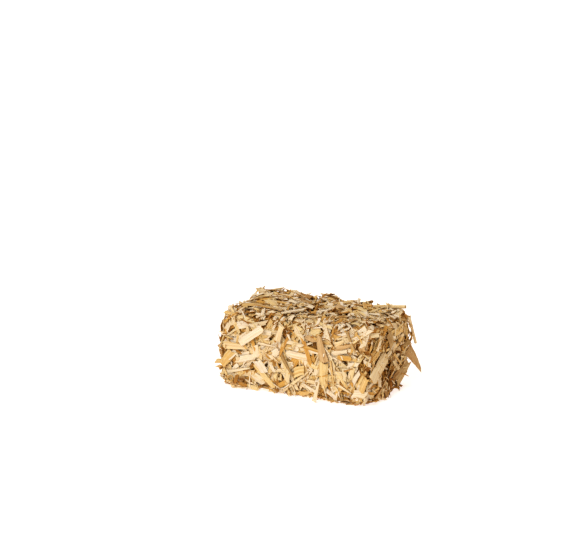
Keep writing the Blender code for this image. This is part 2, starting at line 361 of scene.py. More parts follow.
bed_shape = block_shape.copy()
bed_shape.normal_update()
inward = [(v, v.normal.copy()) for v in bed_shape.verts]
for v, normal in inward:
    v.co -= normal * BED_DEPTH
    v.co.z = max(v.co.z, BED_DEPTH / 2)

packed, tree = new_material("packed_straw_bed")
place = add(tree, "TexCoord").outputs["Object"]
crumbs = add(tree, "TexNoise", {"Vector": place, "Scale": 1 / CRUMB, "Detail": 4.0}).outputs[0]
# The bed's golden brown is partly painted shade for the gaps.
colour = add(tree, "ValToRGB", {"Fac": crumbs}, stops=[
    (0.35, linear("#B47838")), (0.65, linear("#DCA054"))]).outputs[0]
bump = add(tree, "Bump", {"Height": crumbs, "Strength": 1.0, "Distance": 0.5 * MM})
shader = add(tree, "BsdfPrincipled", {
    "Base Color": colour, "Roughness": 0.9, "Normal": bump.outputs[0], "Specular IOR Level": 0.0})
add(tree, "OutputMaterial", {"Surface": shader.outputs[0]})

bed = in_scene("packed_bed", bpy.data.meshes.new("packed_bed"))
bed_shape.to_mesh(bed.data)
bed_shape.free()
bed.data.shade_smooth()
bed.data.materials.append(packed)
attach(bed, "root")
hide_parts("pressed_straw")
print("bed:", len(bed.data.polygons), "faces")

# %% [markdown]
# ## The large chips
#
# The construction model holds the large chips that lie loose on the skin, each in its place. Each
# is swapped for a finer copy with straw's grain. Its ends are torn along the fibres, its edges
# nibbled and its faces ribbed, all in the chip's own directions: along, across and out.
#
# A table says what the chips that show are made of, as a kind and a tone from 0, light, to 15,
# dark. The others are of their usual straw, in a tone drawn at random.

# %% What the large chips are made of
USUAL = {"split_stem": "skin", "leaf_flake": "leaf", "sliver": "pith", "stem_tube": "leaf"}
# kind and tone of each chip, in the order of their numbers
MADE_OF = {
    "split_stem_front": [("pith", 1), ("skin", 3), ("pith", 5), ("pith", 0),
                         ("skin", 4), ("pith", 3), ("skin", 15), ("skin", 9)],
    "leaf_flake_front": [("skin", 9), ("pith", 11), ("pith", 3), ("grey", 11), ("pith", 7),
                         ("leaf", 2)],
    "sliver_front": [("pith", 6), ("pith", 4), ("pith", 10), ("pith", 2), ("pith", 8), ("grey", 5)],
    "split_stem_end": [("pith", 10)],
    "leaf_flake_end": [("pith", 3), ("grey", 4), ("grey", 3), ("leaf", 5)],
    "sliver_end": [("skin", 8), ("leaf", 5)],
    "stem_tube_end": [("pith", 11)],
    "split_stem_top": [("pith", 5), ("grey", 2), ("skin", 5)],
    "leaf_flake_top": [("skin", 14), ("leaf", 4), ("leaf", 8)],
    "sliver_top": [("grey", 1)],
    "stem_tube_top": [("pith", 13)],
}
FACES_OUT = {
    "front": (0, -1, 0), "back": (0, 1, 0), "end": (1, 0, 0), "left": (-1, 0, 0), "top": (0, 0, 1),
}
print(sum(map(len, MADE_OF.values())), "large chips are described one by one")

# %% [markdown]
# A chip's longest direction gives the way that the grain runs. It comes from a singular value
# decomposition of its points, which sorts their spread into a longest, middle and shortest.

# %% Refining a large chip
FRAY = 0.3 * MM        # how far torn fibres stick out at an end
FRAY_REACH = 1.6 * MM  # how far from the end the tearing starts
TUFT = 0.3 * MM        # width of a tuft of torn fibres
RIB = 0.05 * MM
RIB_PITCH = 0.6 * MM
RIB_LENGTH = 12 * MM
NIBBLE = 0.09          # share of the width
NIBBLE_PITCH = 1.5 * MM


def own_axes(points, out):
    """A chip's longest, middle and shortest directions, the last one pointing out of the bale."""
    _, _, axes = np.linalg.svd(points - points.mean(0), full_matrices=False)
    if axes[2] @ out < 0:
        axes[2] *= -1
    axes[1] = np.cross(axes[2], axes[0])
    return axes


def refine(bm, axes, start):
    """Cuts a chip's faces finer and tears, nibbles and ribs it. Returns the points' own places."""
    bmesh.ops.subdivide_edges(bm, edges=bm.edges[:], cuts=2, use_grid_fill=True)
    points = np.array([v.co for v in bm.verts])
    middle = points.mean(0)
    local = (points - middle) @ axes.T
    half = np.abs(local[:, 0]).max()
    moved = local.copy()
    for number, (x, y, z) in enumerate(local):
        near_end = max(0.0, (abs(x) - half + FRAY_REACH) / FRAY_REACH)
        tuft = noise.noise((y / TUFT, start, math.copysign(3, x)))
        moved[number, 0] += math.copysign(FRAY * tuft * near_end ** 2, x)
        moved[number, 1] *= 1 + NIBBLE * noise.noise((x / NIBBLE_PITCH, start, 5))
        moved[number, 2] += RIB * noise.noise((x / RIB_LENGTH, y / RIB_PITCH, start))
    for v, co in zip(bm.verts, moved @ axes + middle):
        v.co = co
    return local


print("chips are torn over the last", round(FRAY_REACH / MM, 1), "mm at each end")

# %% [markdown]
# A chip's faces take their swatches by where they look: out of the bale, into it, or sideways,
# where the torn rim is. The rim's amber edge swatch is painted shade along the chip's sides.

# %% Grain on a large chip
SIDEWAYS = 0.35  # a face that looks less far out or in than this is rim


def lay_grain(bm, local, axes, outer, inner, rim, column):
    """Gives a chip's faces their places on the sheet of swatches, by the side that they face."""
    uv_layer = bm.loops.layers.uv.new(MAP)
    bm.normal_update()
    bm.verts.index_update()
    places = on_swatch(local)
    for face in bm.faces:
        facing = face.normal.dot(Vector(axes[2]))
        row = outer if facing > SIDEWAYS else inner if facing < -SIDEWAYS else rim
        for loop in face.loops:
            u, v = places[loop.vert.index]
            loop[uv_layer].uv = ((column + u) / SWATCHES, (row + v) / SWATCHES)


print("a swatch is", SWATCH_LENGTH / MM, "by", SWATCH_WIDTH / MM, "mm of straw")

# %% [markdown]
# The faces of the large chips are also kept in a list, because the small chips lie under them.

# %% Large chips
SHARP = math.radians(40)  # an edge sharper than this isn't shaded round


def straw_piece(name, mesh):
    """Shades a mesh, makes it straw and puts it in the scene."""
    mesh.shade_smooth()
    mesh.set_sharp_from_angle(angle=SHARP)
    mesh.materials.append(straw)
    return in_scene(name, mesh)


large_points, large_faces = [], []
for number, name in enumerate(sorted(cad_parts)):
    if name == "pressed_straw":
        continue
    group, own_number = name.rsplit("_", 1)
    kind, face_name = group.rsplit("_", 1)
    rng = np.random.default_rng([SEED, 99, number])
    usual = USUAL[kind], int(rng.integers(1, 13))
    stuff, tone_column = MADE_OF[group][int(own_number) - 1] if group in MADE_OF else usual
    bm = bmesh.new()
    bm.from_mesh(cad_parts[name].data)
    bmesh.ops.remove_doubles(bm, verts=bm.verts, dist=WELD)
    bmesh.ops.join_triangles(
        bm, faces=bm.faces, angle_face_threshold=0.6, angle_shape_threshold=0.9)
    axes = own_axes(np.array([v.co for v in bm.verts]), np.array(FACES_OUT[face_name]))
    local = refine(bm, axes, number * 1.7)
    inner = "pith" if stuff == "skin" else stuff
    # The rim takes an amber edge swatch, painted shade along the chip's sides.
    outer_row, inner_row, rim_row = [int(rng.choice(ROWS[k])) for k in (stuff, inner, "edge")]
    lay_grain(bm, local, axes, outer_row, inner_row, rim_row, tone_column)

    first = len(large_points)
    large_points += [v.co.copy() for v in bm.verts]
    large_faces += [[first + v.index for v in f.verts] for f in bm.faces]
    mesh = bpy.data.meshes.new(name + "_straw")
    bm.to_mesh(mesh)
    bm.free()
    piece = straw_piece(name + "_straw", mesh)
    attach(piece, "root")
    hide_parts(name)

print("large chips:", len(large_faces), "faces")

# %% [markdown]
# ## Shapes of chopped straw
#
# A hammer mill splits the stems lengthwise and snaps them across. Five shapes come out: split
# stems, curved across like a piece of a tube; flakes of leaf, creased and bent; narrow shreds;
# short bits; and dust. Each starts as a thin plate, which is then bent. The plate is one unit
# long and one wide, and each chip stretches it to its own length and width.
#
# There are thousands of chips, so each shape has only a few dozen faces, and its outline does the
# work: torn and slanting ends, a taper, a curl.

# %% Plates and their bends
OUTER, INNER, RIM = 0, 1, 2


def plate(along, across, wall):
    """A flat plate, one by one, with its faces marked as outer side, inner side and rim."""
    bm = bmesh.new()
    bmesh.ops.create_cube(bm, size=1)
    bmesh.ops.scale(bm, vec=(1, 1, wall), verts=bm.verts)
    for axis, cuts in ((0, along - 1), (1, across - 1)):
        edges = [e for e in bm.edges if abs((e.verts[0].co - e.verts[1].co)[axis]) > 0.9]
        if cuts:
            bmesh.ops.subdivide_edges(bm, edges=edges, cuts=cuts, use_grid_fill=True)
    for face in bm.faces:
        up = face.normal.z
        face.material_index = OUTER if up > 0.5 else INNER if up < -0.5 else RIM
    return bm


def bend(bm, rng, arc=0.0, crease=0.0, bow=0.0, sweep=0.0, twist=0.0, taper=0.0, point=0.0,
         slant=0.0, torn=0.0, nick=0.0):
    """Bends a plate. Angles are in radians, and heights and shifts in parts of its width.

    taper narrows one end and point both. slant and torn move the ends' corners, in parts of the
    length, and nick moves the sides'.
    """
    ragged = {}
    for v in bm.verts:
        x, y, z = v.co
        end, side = abs(x) > 0.49, abs(y) > 0.49
        chance = ragged.setdefault((round(x, 3), round(y, 3)), rng.uniform(-1, 1, 2))
        if end:
            x += torn * chance[0] + slant * y
        if side:
            y += nick * chance[1]
        y *= (1 - taper * (v.co.x + 0.5)) * (1 - point * (2 * v.co.x) ** 4)
        z -= crease * abs(2 * y)
        if arc:
            radius = 1 / arc + z
            y, z = radius * math.sin(y * arc), radius * math.cos(y * arc) - 1 / arc
        y += sweep * (2 * v.co.x) ** 2
        turn = twist * v.co.x
        y, z = y * math.cos(turn) - z * math.sin(turn), y * math.sin(turn) + z * math.cos(turn)
        v.co = (x, y, z - bow * (2 * v.co.x) ** 2)


print("sides of a plate:", (OUTER, INNER, RIM))

# %% [markdown]
# A template keeps what laying needs of its mesh: where the points are once bent; where they were
# while flat, which is where the grain is read from; the faces and the side that each is on; and
# the heights of its underside and its upper side.

# %% Templates
BULK = 65  # percent of a side's points that count as its height, the rest stick out


def template(rng, along, across, wall, **bends):
    """One shape of chip, as arrays."""
    bm = plate(along, across, wall)
    flat = np.array([v.co for v in bm.verts])
    bend(bm, rng, **bends)
    points = np.array([v.co for v in bm.verts])
    made = {
        "flat": flat,
        "points": points,
        "corners": np.array([v.index for f in bm.faces for v in f.verts]),
        "sides": np.array([f.material_index for f in bm.faces]),
        "under": np.percentile(points[flat[:, 2] < 0, 2], 100 - BULK),
        "over": np.percentile(points[flat[:, 2] > 0, 2], BULK),
    }
    bm.free()
    return made


shape_rng = np.random.default_rng(SEED)
draw = shape_rng.uniform
VARIANTS = 12
SHAPES = {"split": [], "flake": [], "shred": [], "bit": [], "dust": []}
for number in range(VARIANTS):
    SHAPES["split"].append(template(
        shape_rng, 5, 3, 0.12, arc=draw(0.3, 1.4), bow=draw(-0.1, 0.2), twist=draw(-0.25, 0.25),
        sweep=draw(-0.1, 0.1), taper=draw(0, 0.35), slant=draw(-0.2, 0.2), torn=0.05, nick=0.03))
    SHAPES["flake"].append(template(
        shape_rng, 5, 2, 0.07, crease=draw(0.03, 0.2), bow=draw(-0.2, 0.45), twist=draw(-0.6, 0.6),
        sweep=draw(-0.2, 0.2), taper=draw(0.1, 0.8), point=draw(0, 0.3), slant=draw(-0.3, 0.3),
        torn=0.05, nick=0.06))
    SHAPES["shred"].append(template(
        shape_rng, 5, 1, 0.3, bow=draw(-0.6, 0.8), sweep=draw(-0.8, 0.8), twist=draw(-0.8, 0.8),
        taper=draw(0.1, 0.7), point=draw(0, 0.5), slant=draw(-0.1, 0.1), torn=0.03))
    SHAPES["bit"].append(template(
        shape_rng, 2, 1, 0.26, bow=draw(-0.2, 0.3), twist=draw(-0.5, 0.5), taper=draw(0, 0.6),
        slant=draw(-0.3, 0.3), torn=0.1, nick=0.1))
    SHAPES["dust"].append(template(
        shape_rng, 1, 1, 0.45, taper=draw(0, 0.7), slant=draw(-0.4, 0.4), torn=0.12))
print({shape: len(made[0]["sides"]) for shape, made in SHAPES.items()}, "faces a chip")

# %% [markdown]
# Some stems are snapped without being split, and show their round, hollow ends. Such a stub is a
# cone without caps, given a wall. Its flat places are those of its wall, unrolled to both sides.

# %% A stub of whole stem
STUB_SIDES = 10
STUB_RADII = (0.5, 0.46)  # a stem is a little thinner at one end
STUB_WALL = 0.11
STUB_HALF_WALL = 0.06
STUB_MIDWALL = 0.43       # the radius that parts its outer points from its inner ones
STUB_FACING = 0.7         # a face that looks further along the stem than this is a snapped end


def stub():
    """A short hollow stem, one long and one across, as arrays like a template's."""
    bm = bmesh.new()
    along_x = Matrix.Rotation(math.radians(90), 4, "Y")
    bmesh.ops.create_cone(bm, cap_ends=False, segments=STUB_SIDES,
                          radius1=STUB_RADII[0], radius2=STUB_RADII[1], depth=1, matrix=along_x)
    bmesh.ops.recalc_face_normals(bm, faces=bm.faces)
    bmesh.ops.solidify(bm, geom=bm.faces[:], thickness=STUB_WALL)
    bmesh.ops.recalc_face_normals(bm, faces=bm.faces)
    points = np.array([v.co for v in bm.verts])
    reach = np.hypot(points[:, 1], points[:, 2])
    unrolled = np.abs(np.arctan2(points[:, 1], points[:, 2])) * STUB_RADII[0] - math.pi / 4
    depth = np.where(reach > STUB_MIDWALL, STUB_HALF_WALL, -STUB_HALF_WALL)
    # A wall's faces come in no fixed order, so they are sorted by where their middles are.
    faces = sorted(bm.faces, key=lambda face: tuple(round(c, 4) for c in face.calc_center_median()))
    sides = []
    for face in faces:
        middle = face.calc_center_median()
        outward = face.normal.dot(Vector((0, middle.y, middle.z)).normalized())
        snapped = abs(face.normal.x) > STUB_FACING
        sides.append(RIM if snapped else OUTER if outward > 0 else INNER)
    made = {
        "flat": np.stack([points[:, 0], unrolled, depth], 1),
        "points": points,
        "corners": np.array([v.index for face in faces for v in face.verts]),
        "sides": np.array(sides), "under": -0.5, "over": 0.5,
    }
    bm.free()
    return made


SHAPES["stub"] = [stub()]
print("stub:", len(SHAPES["stub"][0]["sides"]), "faces")

# %% [markdown]
# ## The ground on each side
#
# Strewing chips at random makes them run through each other, and nothing looks like a pile. Here
# each chip settles on what lies under it, as it would in the mould. To make that quick, each side
# of the brick is a height field: a fine grid of cells, each holding how far out the straw reaches
# so far. At first that is the bed. Rays shot at the block fill the grid, and rays shot outwards at
# the large chips say how much room there is under them.

# %% Height fields
CELL = 0.25 * MM
MARGIN = 2 * MM
FAR = 60 * MM
NONE = -1.0          # height of a cell with nothing behind it
OPEN = 1.0           # room in a cell with nothing over it
PROUDEST = 3.2 * MM  # a chip that stands further out of the skin than this is brushed off
block_tree = BVHTree.FromBMesh(block_shape)
large_tree = BVHTree.FromPolygons(large_points, large_faces)


class Side:
    """One side of the brick: its directions, and how far out the straw reaches in each cell."""

    def __init__(self, right, up, unrest):
        self.unrest = unrest
        self.proudest = PROUDEST
        self.right, self.up = Vector(right), Vector(up)
        self.out = self.right.cross(self.up)
        corners = [Vector(c) for c in itertools.product(*zip(block_low, block_high))]
        spans = []
        for way in (self.right, self.up):
            reach = [c.dot(way) for c in corners]
            spans.append(np.arange(min(reach) - MARGIN, max(reach) + MARGIN, CELL))
        self.columns, self.rows = spans
        self.skin = self.cast(block_tree, False, NONE)
        self.room = self.cast(large_tree, True, OPEN)
        self.lid = self.cast(large_tree, False, NONE)
        self.height = np.where(self.skin > NONE, self.skin - BED_DEPTH, NONE)
        self.cells = np.argwhere(self.skin > NONE)
        self.area = len(self.cells) * CELL ** 2

    def cast(self, tree, outwards, missed):
        """The heights at which rays meet a tree, cell by cell."""
        found = np.full((len(self.rows), len(self.columns)), missed)
        start = self.out * (0 if outwards else FAR)
        shot = self.out if outwards else -self.out
        for j, y in enumerate(self.rows):
            row_start = start + self.up * y
            for i, x in enumerate(self.columns):
                hit = tree.ray_cast(row_start + self.right * x, shot, FAR + MM)[0]
                if hit is not None:
                    found[j, i] = hit.dot(self.out)
        return found


print("a square centimetre has", round((10 * MM / CELL) ** 2), "cells")

# %% [markdown]
# Each side is named for where it faces, with the directions that run to its right and up it. The
# last number says how unruly its chips are: on top they stick up most, and underneath least.

# %% The six sides
SIDES = {
    "front": Side((1, 0, 0), (0, 0, 1), 1.0), "back": Side((-1, 0, 0), (0, 0, 1), 1.0),
    "end": Side((0, 1, 0), (0, 0, 1), 1.6), "left": Side((0, -1, 0), (0, 0, 1), 1.6),
    "top": Side((1, 0, 0), (0, 1, 0), 2.6), "base": Side((1, 0, 0), (0, -1, 0), 0.5),
}
SIDES["base"].room[:] = -CLEAR
print("sides:", {name: f"{side.area / MM ** 2:.0f} square mm" for name, side in SIDES.items()})

# %% [markdown]
# ## How a chip settles
#
# A plane is fitted to the ground under the chip, and the chip leans as that plane does, give or
# take some degrees. Then it is pressed down until a share of it has sunk into the ground, which
# stands for the squeeze of the mould. It must stay under any large chip, and one that would stand
# too far out of the skin is left off, as loose bits get brushed off a real bale. Last, the ground
# under it is raised to its upper side, so that the next chip lies on top of it.

# %% Settling one chip
SUNK = 60            # percent of the ground under a chip that stays below its underside
HELD = 0.72          # share of a chip that must have ground under it
STEEPEST = 0.6       # the steepest slope of the ground that a chip follows
POINTS_A_CELL = 1.4  # so that a chip leaves out none of the cells under it


def footprint(length, width):
    """Points all over a chip, closer together than the cells are."""
    along, across = [
        np.linspace(-0.5, 0.5, math.ceil(size / CELL * POINTS_A_CELL) + 1) * size
        for size in (length, width)
    ]
    return np.repeat(along, len(across)), np.tile(across, len(along))


def settle(side, x, y, turn, length, width, thickness, wobble, held_share):
    """Lays a chip on a side. Returns the height of its underside and its two slopes, or None."""
    along, across = footprint(length, width)
    c, s = math.cos(turn), math.sin(turn)
    i = ((x + along * c - across * s - side.columns[0]) / CELL + 0.5).astype(int)
    j = ((y + along * s + across * c - side.rows[0]) / CELL + 0.5).astype(int)
    inside = (i >= 0) & (j >= 0) & (i < len(side.columns)) & (j < len(side.rows))
    i, j, along, across = [a[inside] for a in (i, j, along, across)]
    ground = side.height[j, i]
    held = ground > NONE
    if held.sum() < held_share * len(inside):
        return None
    i, j, along, across, ground = [a[held] for a in (i, j, along, across, ground)]
    shape = np.stack([np.ones(len(ground)), along, across], 1)
    slopes = np.linalg.lstsq(shape, ground, rcond=None)[0][1:]
    slopes = np.clip(slopes, -STEEPEST, STEEPEST) + wobble
    plane = along * slopes[0] + across * slopes[1]
    underside = np.percentile(ground - plane, SUNK)
    underside = min(underside, (side.room[j, i] - plane).min() - thickness)
    reached = underside + plane + thickness
    if (reached - side.skin[j, i]).max() > side.proudest:
        return None
    side.height[j, i] = np.maximum(ground, reached)
    return underside, slopes


print("a chip of 6 by 2 mm rests on", len(footprint(6 * MM, 2 * MM)[0]), "points")

# %% [markdown]
# Each chip's length, width and turn are drawn, and short chips are commoner than long ones. Then
# a few places are drawn, and the lowest is kept, because loose bits collect in the hollows. On the
# walls a chip is moved up if it would reach into the table.

# %% Settling a handful
INSIDE_OUT = 0.35  # share of the chips that lie with their inner side up
WIDEST = 0.6       # a chip's width, at most, as a share of its length


def rest(side, shape, x, y, turn, long, wide, wobble, turned_over, held_share):
    """Lays one chip on a side. Returns its middle and its three axes, or None if it can't stay."""
    under, over = shape["under"] * wide, shape["over"] * wide
    if turned_over:
        under, over = -over, -under
    at_rest = settle(side, x, y, turn, long, wide, over - under, wobble, held_share)
    if at_rest is None:
        return None
    underside, slopes = at_rest
    ahead = side.right * math.cos(turn) + side.up * math.sin(turn)
    aside = side.up * math.cos(turn) - side.right * math.sin(turn)
    along = (ahead + side.out * slopes[0]).normalized()
    facing = along.cross(aside + side.out * slopes[1]).normalized()
    if turned_over:
        facing.negate()
    middle = side.right * x + side.up * y + side.out * (underside - under)
    return middle, (along, facing.cross(along), facing)


def drawn(limits, rng):
    """A size between two limits in mm, more often near the lower one."""
    low, high = limits
    return (low + (high - low) * rng.beta(1.3, 2.0)) * MM


def handful(side, cells, shapes, count, length, width, lean, tries, rng, held_share=HELD):
    """Settles a number of chips of one shape. Returns each one's shape, middle, axes and size."""
    laid = []
    for _ in range(count):
        long = drawn(length, rng)
        wide = min(drawn(width, rng), long * WIDEST)
        turn = rng.uniform(0, 2 * math.pi)
        wobble = np.clip(rng.normal(size=2), -2, 2) * math.tan(math.radians(lean * side.unrest))
        spots = cells[rng.integers(len(cells), size=tries)]
        drops = [side.height[j, i] - side.skin[j, i] for j, i in spots]
        j, i = spots[int(np.argmin(drops))]
        x, y = side.columns[i], side.rows[j]
        if side.up.z > 0.5:
            y = max(y, abs(long / 2 * math.sin(turn)) + abs(wide / 2 * math.cos(turn)) + CLEAR)
        which = int(rng.integers(len(shapes)))
        turned_over = rng.random() < INSIDE_OUT
        placed = rest(side, shapes[which], x, y, turn, long, wide, wobble, turned_over, held_share)
        if placed:
            laid.append((which, *placed, long, wide))
    return laid


print(f"{INSIDE_OUT:.0%} of the chips lie with their inner side up")

# %% [markdown]
# ## From places to a mesh
#
# A handful of chips becomes mesh data in one go: each template's points are stretched, turned and
# moved once for each chip that uses it, and its faces are repeated with them. Each chip gets a
# swatch for each of its sides.

# %% Laying chips
AMBER_RIM_SHARE = 0.6  # share of the chips whose rims take the amber edge swatches, painted shade along their sides
SLIDE = 0.03      # how far a chip slides about on its swatch, either way


def swatch_rows(kinds, rng):
    """The rows of a chip's outer, inner and rim faces; an amber edge rim is painted shade. kinds
    gives the share of each kind.
    """
    names = list(kinds)
    shares = np.array(list(kinds.values()), float)
    outer = names[rng.choice(len(names), p=shares / shares.sum())]
    inner = "pith" if outer == "skin" else outer
    rim = "edge" if rng.random() < AMBER_RIM_SHARE else outer
    return [int(rng.choice(ROWS[kind])) for kind in (outer, inner, rim)]


def lay(shapes, laid, kinds, tones, rng):
    """Mesh arrays for chips at their places: points, corners and corner UVs, one set a template."""
    parts = []
    rows = np.array([swatch_rows(kinds, rng) for _ in laid])
    columns = rng.integers(tones[0], tones[1] + 1, len(laid))
    slide = rng.uniform(-SLIDE, SLIDE, (len(laid), 1, 2))
    which = np.array([chip[0] for chip in laid])
    middles, axes, sizes = [np.array([chip[n] for chip in laid]) for n in (1, 2, 3)]
    widths = np.array([chip[4] for chip in laid])
    for number, shape in enumerate(shapes):
        mine = which == number
        size = np.stack([sizes[mine], widths[mine], widths[mine]], 1)[:, None, :]
        at = (shape["points"][None] * size) @ axes[mine] + middles[mine][:, None, :]
        at[:, :, 2] += np.maximum(0, CLEAR - at[:, :, 2].min(1))[:, None]

        places = on_swatch(shape["flat"][None] * size, slide[mine])[:, shape["corners"]]
        row = rows[mine][:, np.repeat(shape["sides"], 4)]
        column = np.repeat(columns[mine][:, None], row.shape[1], 1)
        parts.append((at, shape["corners"], (np.stack([column, row], 2) + places) / SWATCHES))
    return parts


# The amber on those rims is painted shade along the chips' sides.
print(f"{AMBER_RIM_SHARE:.0%} of the chips have torn, amber edges")

# %% [markdown]
# The arrays of many handfuls are joined into one mesh, which is one piece of the bale. All faces
# have four corners, so the arrays can be written straight into the mesh.

# %% Joining chips into a piece
def build(name, parts):
    """Joins laid chips into one piece of the bale, and prints its size."""
    points, corners, uvs, total = [], [], [], 0
    for at, faces, uv in parts:
        chips, size = at.shape[:2]
        points.append(at.reshape(-1, 3))
        starts = total + np.arange(chips)[:, None] * size
        corners.append((starts + faces[None]).ravel())
        uvs.append(uv.reshape(-1, 2))
        total += chips * size
    points, corners, uvs = map(np.concatenate, (points, corners, uvs))
    mesh = bpy.data.meshes.new(name)
    mesh.vertices.add(len(points))
    mesh.vertices.foreach_set("co", points.astype(np.float32).ravel())
    mesh.loops.add(len(corners))
    mesh.loops.foreach_set("vertex_index", corners.astype(np.int32))
    mesh.polygons.add(len(corners) // 4)
    mesh.polygons.foreach_set("loop_start", np.arange(0, len(corners), 4, dtype=np.int32))
    mesh.update(calc_edges=True)
    mesh.uv_layers.new(name=MAP).data.foreach_set("uv", uvs.astype(np.float32).ravel())
    piece = straw_piece(name, mesh)
    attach(piece, "root")
    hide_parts("pressed_straw")
    print(f"{name}: {len(mesh.polygons)} faces")


# %% [markdown]
# ## The layers
#
# From the bed outwards: amber and dark brown, broken straw that fills the gaps; then the mass of
# middle-sized chips, amber below and paler above; then the chips that show, with shreds, bits and
# dust between them. The amber and dark brown of the deeper layers is painted shade: it gives the
# gaps between the pale chips the golden brown of shade and of light passing through straw. A
# recipe's tries are the number of places that each of its chips may choose from.

# %% The recipe for each layer
# The filling and the lower chips are amber and dark brown: painted shade for the gaps.
# shape, chips per square cm, length, width (mm, from and to), lean (degrees), tries, kinds, tones
LAYERS = {"filling": [
    ("flake", 14, (3, 8), (1.2, 3.0), 5, 2, {"amber": 6, "old": 3, "leaf": 1}, (0, 7)),
    ("shred", 10, (2, 8), (0.4, 1.1), 8, 2, {"amber": 6, "old": 3, "leaf": 1}, (0, 7)),
], "chips": [
    ("split", 9, (3, 9), (1.0, 2.8), 5, 2, {"amber": 9, "leaf": 1}, (0, 15)),
    ("flake", 9, (3, 8), (1.2, 3.0), 6, 2, {"amber": 8, "leaf": 1, "skin": 1}, (0, 15)),
    ("shred", 6, (2, 9), (0.4, 1.2), 9, 2, {"amber": 8, "skin": 2}, (0, 15)),
    ("split", 9, (4, 11), (1.2, 3.2), 5, 1, {"skin": 5, "amber": 4, "pith": 1}, (0, 15)),
    ("flake", 5, (4, 10), (1.4, 3.4), 7, 1, {"leaf": 2, "skin": 6, "amber": 2}, (0, 15)),
    ("split", 6, (5, 12), (1.6, 3.8), 5, 1, {"skin": 6, "pith": 5}, (0, 15)),
], "shreds": [
    ("bit", 5, (1.2, 3.6), (0.6, 1.6), 10, 3, {"skin": 5, "pith": 4, "amber": 3}, (0, 15)),
    ("shred", 4, (3, 9), (0.5, 1.2), 8, 2, {"skin": 4, "pith": 5, "amber": 2}, (0, 15)),
    ("split", 7, (4, 10), (1.1, 2.8), 5, 1, {"skin": 6, "pith": 5}, (0, 15)),
    ("dust", 3, (0.3, 0.9), (0.2, 0.5), 20, 3, {"skin": 4, "pith": 4, "amber": 4}, (0, 15)),
]}
print({layer: len(recipes) for layer, recipes in LAYERS.items()}, "recipes a layer")

# %% [markdown]
# Brown patches of small flakes lie at the foot of each wall and round the large chips on the end.
# They are painted shade: the shade that falls at the foot and in the deep gaps there. Pale flakes
# are mixed in over the top and the middle of the end, with some brown ones on top. These patches
# get small flakes of their own.

# %% Patches
# The brown patches at the foot and round the end's large chips are painted shade.
# across, up, reach (mm), chips, which
PATCHES = {
    "front": [(-23, 1.5, 4, 14, "brown")],
    "end": [(-6, 2, 8, 36, "brown"), (6, 3, 8, 36, "brown"), (15, 3, 7, 26, "brown"),
            (-16, 15, 4, 10, "brown"), (5, 17, 4, 10, "brown"), (2, 14, 20, 25, "pale_patch")],
    "back": [(-20, 2, 7, 26, "brown"), (12, 1, 6, 20, "brown")],
    "left": [(-8, 2, 7, 26, "brown"), (9, 1, 5, 16, "brown")],
    "top": [(-16, 0, 22, 30, "brown"), (18, 0, 22, 30, "brown"),
            (-16, 0, 22, 130, "pale_patch"), (18, 0, 22, 130, "pale_patch")],
}
PATCH_KINDS = {"brown": {"leaf": 4, "old": 3, "amber": 1}, "pale_patch": {"pith": 4, "skin": 1}}
PATCH_TONES = {"brown": (5, 15), "pale_patch": (0, 6)}
PATCH_FLAKES = ((2, 6), (0.8, 2.2), 9, 2)  # length, width (mm), lean (degrees), tries
print(sum(map(len, PATCHES.values())), "patches")

# %% [markdown]
# Each side is strewn on its own, layer upon layer, and the patches come with the last one.

# %% Strewing the layers
def strew(side, recipes, rng):
    """Chips strewn all over a side, by a list of recipes."""
    parts = []
    for shape, density, length, width, lean, tries, kinds, tones in recipes:
        count = round(density * side.area / (10 * MM) ** 2)
        laid = handful(side, side.cells, SHAPES[shape], count, length, width, lean, tries, rng)
        parts += lay(SHAPES[shape], laid, kinds, tones, rng)
    return parts


def strew_patches(side, patches, rng):
    """Brown or pale flakes, strewn over the patches of a side; brown ones at the foot are painted
    shade.
    """
    parts = []
    columns, rows = side.columns[side.cells[:, 1]], side.rows[side.cells[:, 0]]
    for across, up, reach, count, which in patches:
        near = side.cells[np.hypot(columns - across * MM, rows - up * MM) < reach * MM]
        laid = handful(side, near, SHAPES["flake"], count, *PATCH_FLAKES, rng)
        parts += lay(SHAPES["flake"], laid, PATCH_KINDS[which], PATCH_TONES[which], rng)
    return parts


for side_number, (side_name, side) in enumerate(SIDES.items()):
    for layer_number, (layer, recipes) in enumerate(LAYERS.items()):
        rng = np.random.default_rng([SEED, side_number, layer_number])
        parts = strew(side, recipes, rng)
        if layer == "shreds":
            parts += strew_patches(side, PATCHES.get(side_name, []), rng)
        build(f"{layer}_{side_name}", parts)
        rise = (side.height - side.skin)[side.skin > NONE] / MM
        print(f"    ground now {np.median(rise):.2f} mm from the skin, spread {rise.std():.2f}")

# %% [markdown]
# ## The top of the pile
#
# The large chips now count as ground too, and a few small ones are strewn over them, which ties
# them into the pile. Some smaller chips stand out by their colour or their place. These are laid
# last, where they belong.

# %% Loose bits and the chips that stand out
LOOSE = [
    ("bit", 2, (1.0, 3.0), (0.5, 1.3), 8, 1, {"skin": 5, "pith": 5, "amber": 1}, (0, 15)),
    ("shred", 2, (3, 8), (0.4, 0.9), 6, 1, {"skin": 4, "pith": 5, "amber": 1}, (0, 15)),
    ("dust", 2, (0.3, 0.9), (0.2, 0.5), 20, 1, {"skin": 4, "pith": 4, "amber": 4}, (0, 15)),
]
HELD_BY_HAND = 0.5  # share of a chip laid one by one that must have ground under it
